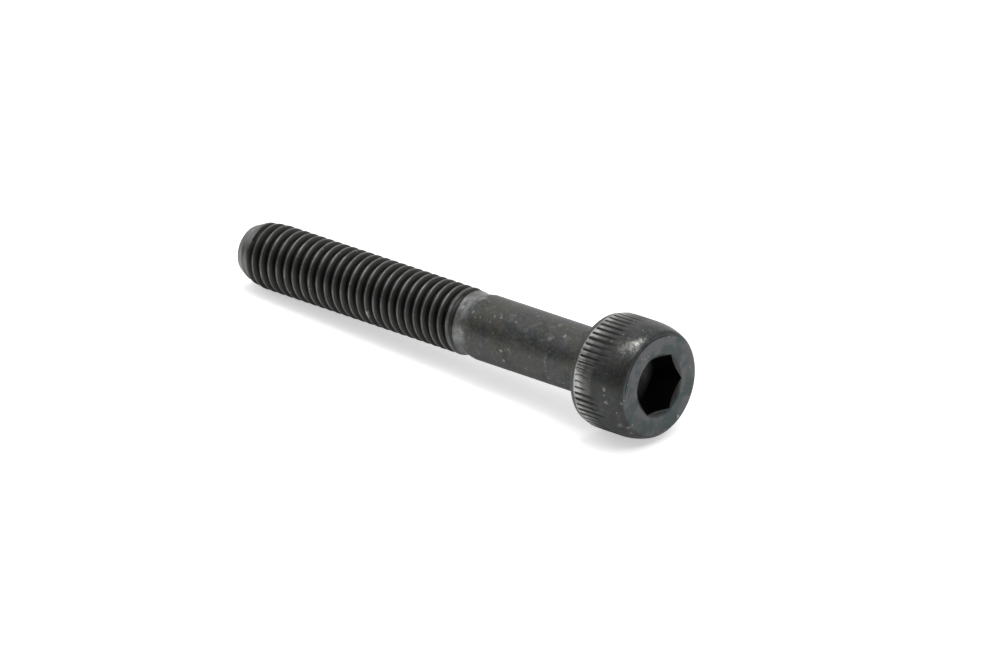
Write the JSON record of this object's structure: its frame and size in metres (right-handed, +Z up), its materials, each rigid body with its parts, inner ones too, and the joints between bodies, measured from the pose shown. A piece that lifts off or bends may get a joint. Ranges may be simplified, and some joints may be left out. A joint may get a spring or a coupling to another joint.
{
  "type": "hexagon socket head cap screw",
  "caption": "Steel cap screw with a knurled cylindrical head, a hexagon socket and a partly threaded shank, lying at rest.",
  "frame": {"origin": "centre of the underside of the screw's box as it lies, on the surface that it lies on", "axes": "+Z up; the screw's axis lies in the XZ plane with the head towards +X, and rises 3.1 degrees from the tip to the head"},
  "size_m": [0.0402, 0.0086, 0.0087],
  "materials": {
    "black_steel": "black oxide on forged and rolled steel, satin, slightly worn on edges and crests"
  },
  "bodies": {
    "root": {"cap_screw": "black_steel"}
  },
  "joints": []
}
